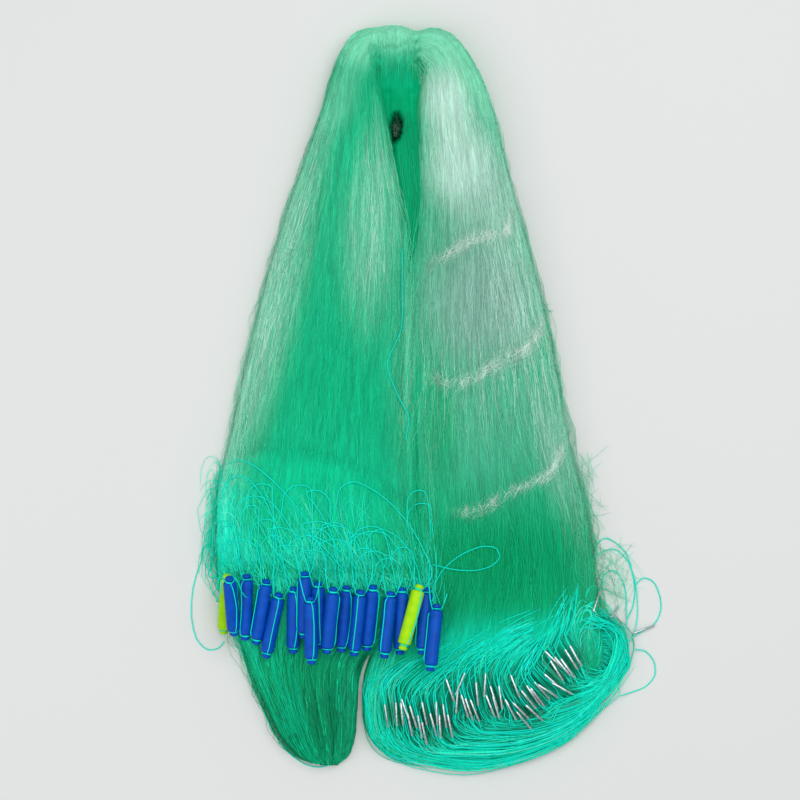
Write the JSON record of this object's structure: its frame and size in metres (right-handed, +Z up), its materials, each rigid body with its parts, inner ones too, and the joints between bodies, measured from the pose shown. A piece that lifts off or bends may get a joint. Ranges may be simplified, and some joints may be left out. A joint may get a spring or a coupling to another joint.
{
  "type": "fishing net",
  "caption": "Gathered gill net folded over at its middle and laid flat, its float line with floats at one leg and its lead line with leads at the other.",
  "frame": {"origin": "centre of the box around the net, on the surface that it lies on", "axes": "+Y towards the top fold, +X from the float-line leg to the lead-line leg, +Z up from the surface"},
  "size_m": [0.427, 0.6819, 0.0648],
  "materials": {
    "netting": "fine nylon monofilament mesh with a soft shine",
    "cord": "thin braided cord, slightly shiny",
    "float_blue": "moulded plastic, satin",
    "float_yellow": "moulded plastic, satin",
    "lead": "dull light grey metal"
  },
  "bodies": {
    "root": {"netting": "netting", "float_line": "cord", "float_line_left": "cord", "float_line_right": "cord", "float_line_middle": "cord", "float_line_foot": "cord", "lead_line": "cord", "lead_line_top": "cord", "lead_line_side": "cord", "lead_line_low": "cord", "float_01_yellow": "float_yellow", "float_02_blue": "float_blue", "float_03_blue": "float_blue", "float_04_blue": "float_blue", "float_05_blue": "float_blue", "float_06_blue": "float_blue", "float_07_blue": "float_blue", "float_08_blue": "float_blue", "float_09_blue": "float_blue", "float_10_blue": "float_blue", "float_11_blue": "float_blue", "float_12_blue": "float_blue", "float_13_blue": "float_blue", "float_14_blue": "float_blue", "float_15_blue": "float_blue", "float_16_blue": "float_blue", "float_17_yellow": "float_yellow", "float_18_blue": "float_blue", "lead_01": "lead", "lead_02": "lead", "lead_03": "lead", "lead_04": "lead", "lead_05": "lead", "lead_06": "lead", "lead_07": "lead", "lead_08": "lead", "lead_09": "lead", "lead_10": "lead", "lead_11": "lead", "lead_12": "lead", "lead_13": "lead", "lead_14": "lead", "lead_15": "lead", "lead_16": "lead", "lead_17": "lead", "lead_18": "lead", "lead_19": "lead", "lead_20": "lead", "lead_21": "lead", "lead_22": "lead", "lead_23": "lead", "lead_24": "lead", "lead_25": "lead", "lead_26": "lead", "lead_27": "lead", "lead_28": "lead", "lead_29": "lead", "lead_30": "lead", "lead_31": "lead", "lead_32": "lead"}
  },
  "joints": []
}
